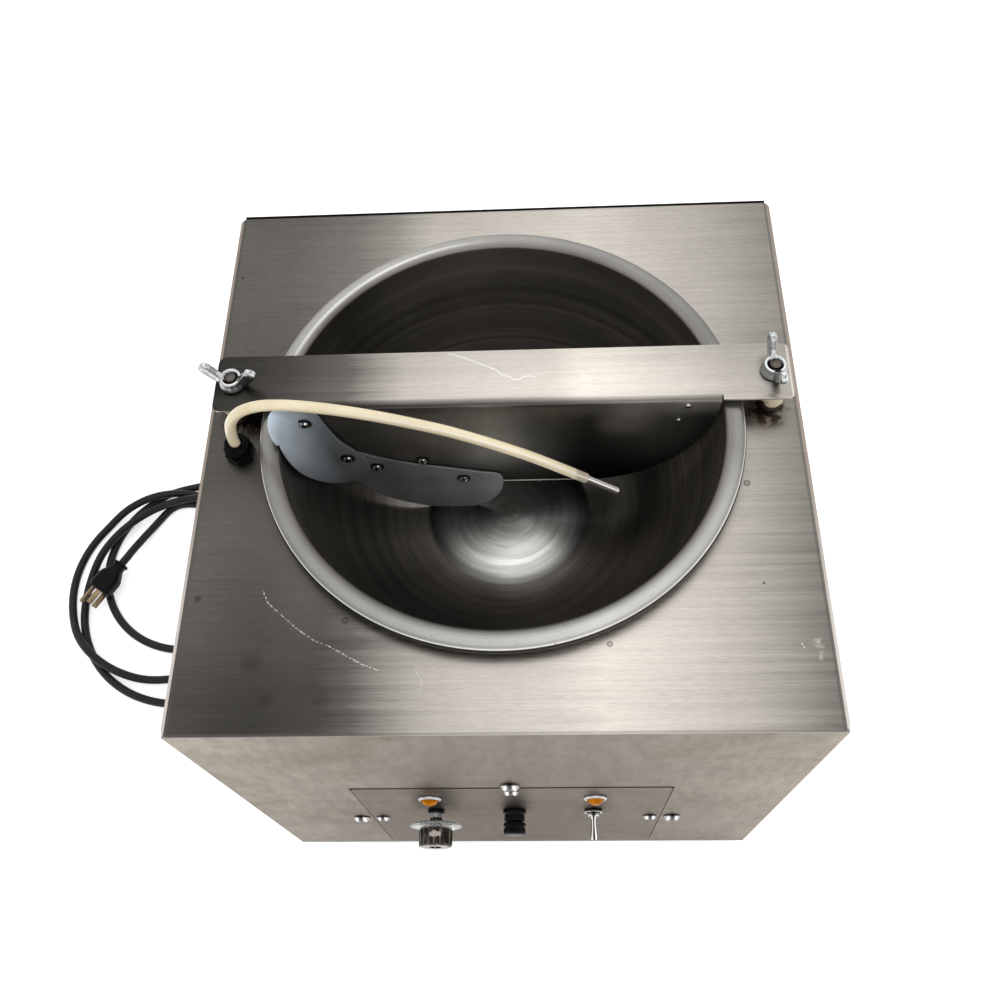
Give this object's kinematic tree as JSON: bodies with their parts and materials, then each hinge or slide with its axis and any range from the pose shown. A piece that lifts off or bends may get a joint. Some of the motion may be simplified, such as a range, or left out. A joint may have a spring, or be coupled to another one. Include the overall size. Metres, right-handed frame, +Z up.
{
  "type": "chocolate melting unit",
  "caption": "Table-top chocolate melting unit: stainless cabinet with a turning bowl, clamped divider with scraper blades, temperature probe and front controls.",
  "frame": {"origin": "on the standing surface, under the middle of the unit without its cord", "axes": "+Z up, front with the controls towards -Y, +X to the right seen from the front"},
  "size_m": [0.6842, 0.5375, 0.4601],
  "materials": {
    "cabinet_steel": "brushed stainless sheet, lightly scratched",
    "front_steel": "dull mill-finish stainless sheet with faint smudges",
    "bowl_steel": "spun and polished stainless steel with fine concentric marks",
    "bridge_steel": "brushed stainless sheet",
    "galvanised_steel": "plain galvanised sheet",
    "zinc_plate": "bright zinc plate",
    "chrome_trim": "chrome plate",
    "spacer_nylon": "natural nylon",
    "blade_plastic": "milky flexible plastic",
    "sleeve_plastic": "cream tubing",
    "black_plastic": "moulded black plastic",
    "black_rubber": "black rubber",
    "cord_jacket": "satin black cord jacket",
    "amber_lens": "faceted amber lens",
    "smoke_plastic": "smoked clear plastic",
    "clear_plastic": "clear plastic",
    "board_laminate": "green circuit board laminate",
    "motor_paint": "grey painted cast housing",
    "fuse_glass": "clear glass with metal caps"
  },
  "bodies": {
    "cabinet": {"top_panel": "cabinet_steel", "side_panel_left": "cabinet_steel", "side_panel_right": "cabinet_steel", "back_panel": "cabinet_steel", "front_panel": "front_steel", "control_plate": "front_steel", "base_pan": "galvanised_steel", "plate_strap_left": "galvanised_steel", "plate_strap_right": "galvanised_steel", "plate_strap_top": "galvanised_steel", "motor_shelf": "galvanised_steel", "foot_front_left": "black_rubber", "foot_front_right": "black_rubber", "foot_rear_left": "black_rubber", "foot_rear_right": "black_rubber", "lamp_bezel_left": "chrome_trim", "lamp_bezel_right": "chrome_trim", "lamp_lens_left": "amber_lens", "lamp_lens_right": "amber_lens", "temperature_control": "zinc_plate", "control_nut": "zinc_plate", "toggle_body": "zinc_plate", "toggle_nut": "zinc_plate", "heating_element": "zinc_plate", "element_clip_left": "zinc_plate", "element_clip_right": "zinc_plate", "stud_left": "zinc_plate", "stud_right": "zinc_plate", "fuse_holder": "black_plastic", "fan_frame": "black_plastic", "probe_gland": "black_plastic", "probe_gland_nut": "black_plastic", "strain_relief": "black_plastic", "plug": "black_plastic", "gearbox": "motor_paint", "drive_motor": "motor_paint", "control_board": "board_laminate", "spacer_left": "spacer_nylon", "spacer_right": "spacer_nylon", "cord_lead": "cord_jacket", "cord_coil": "cord_jacket", "cord_tail": "cord_jacket"},
    "turntable": {"output_shaft": "zinc_plate", "drive_hub": "galvanised_steel", "bowl": "bowl_steel"},
    "fan_wheel": {"fan_rotor": "black_plastic"},
    "knob": {"control_shaft": "zinc_plate", "knob_body": "smoke_plastic", "knob_skirt": "clear_plastic"},
    "switch_lever": {"toggle_lever": "zinc_plate"},
    "fuse_carrier": {"glass_fuse": "fuse_glass"},
    "fuse_holder_cap": {"fuse_cap": "black_plastic"},
    "divider_bridge": {"divider": "bridge_steel", "scraper_blade_upper": "blade_plastic", "scraper_blade_lower": "blade_plastic"},
    "wing_nut_l": {"wing_nut_left": "zinc_plate"},
    "wing_nut_r": {"wing_nut_right": "zinc_plate"},
    "probe": {"probe_sleeve": "sleeve_plastic", "probe_tip": "zinc_plate"}
  },
  "joints": [
    {"name": "bowl_turn", "type": "hinge", "parent": "cabinet", "child": "turntable", "pos_m": [0, 0.0205, 0.25], "axis": [0, 0, 1], "continuous": true},
    {"name": "fan_turn", "type": "hinge", "parent": "cabinet", "child": "fan_wheel", "pos_m": [-0.139, 0.129, 0.03], "axis": [0, 0, 1], "continuous": true},
    {"name": "temperature_knob_turn", "type": "hinge", "parent": "cabinet", "child": "knob", "pos_m": [-0.062, -0.1992, 0.1635], "axis": [0, -1, 0], "range_deg": [-135, 135]},
    {"name": "switch_throw", "type": "hinge", "parent": "cabinet", "child": "switch_lever", "pos_m": [0.062, -0.1932, 0.1635], "axis": [-1, 0, 0], "range_deg": [0, 24]},
    {"name": "fuse_draw", "type": "slide", "parent": "cabinet", "child": "fuse_carrier", "axis": [0, -1, 0], "range_m": [0, 0.036]},
    {"name": "fuse_cap_turn", "type": "hinge", "parent": "fuse_carrier", "child": "fuse_holder_cap", "pos_m": [0, -0.2042, 0.1635], "axis": [0, -1, 0], "range_deg": [0, 90]},
    {"name": "divider_lift", "type": "slide", "parent": "cabinet", "child": "divider_bridge", "axis": [0, 0, 1], "range_m": [0, 0.00282]},
    {"name": "wing_nut_turn_left", "type": "hinge", "parent": "divider_bridge", "child": "wing_nut_l", "pos_m": [-0.1832, 0.04925, 0.42], "axis": [0, 0, 1], "range_deg": [0, 720]},
    {"name": "wing_nut_turn_right", "type": "hinge", "parent": "divider_bridge", "child": "wing_nut_r", "pos_m": [0.1832, 0.04925, 0.42], "axis": [0, 0, 1], "range_deg": [0, 720]},
    {"name": "probe_swing", "type": "hinge", "parent": "cabinet", "child": "probe", "pos_m": [-0.17759, 0.005, 0.41], "axis": [0, 0, 1], "range_deg": [-20, 3]}
  ],
  "couplings": [
    {"joint": "wing_nut_turn_left", "follows": "divider_lift", "rad_per_m": 4453},
    {"joint": "wing_nut_turn_right", "follows": "divider_lift", "rad_per_m": 4453}
  ]
}
